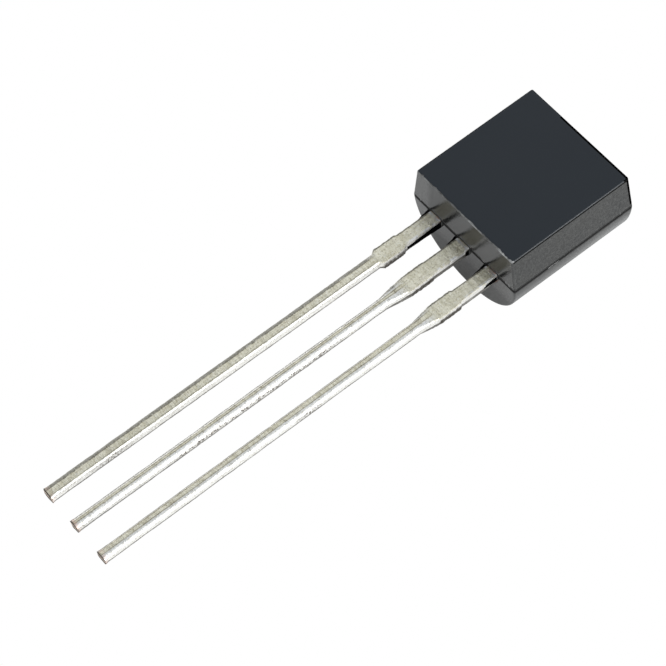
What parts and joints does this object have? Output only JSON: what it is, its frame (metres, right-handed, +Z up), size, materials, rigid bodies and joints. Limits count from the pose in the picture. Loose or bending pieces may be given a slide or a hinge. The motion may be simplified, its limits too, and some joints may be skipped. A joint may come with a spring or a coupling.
{
  "type": "to-92 transistor",
  "caption": "Small half-round moulded transistor with straight tinned leads in a row, lying on its round back with its flat face up.",
  "frame": {"origin": "centre of the footprint, on the surface that the part lies on", "axes": "+X across the row of leads, from the emitter lead to the base lead; +Y along the leads from their tips to the body; +Z up, out of the flat front face, which lies 8 degrees off level"},
  "size_m": [0.0046, 0.0188, 0.0042],
  "materials": {
    "moulding_compound": "dark grey moulded resin, satin, smoother on the flat face",
    "tinned_copper": "dull warm tin plating, a little uneven, copper showing at the cuts",
    "silver_epoxy": "silver-filled adhesive",
    "silicon": "sawn silicon",
    "gold_wire": "drawn gold wire"
  },
  "bodies": {
    "root": {"moulded_body": "moulding_compound", "emitter_lead": "tinned_copper", "collector_lead": "tinned_copper", "base_lead": "tinned_copper", "die_attach": "silver_epoxy", "silicon_die": "silicon", "emitter_wire": "gold_wire", "base_wire": "gold_wire"}
  },
  "joints": []
}
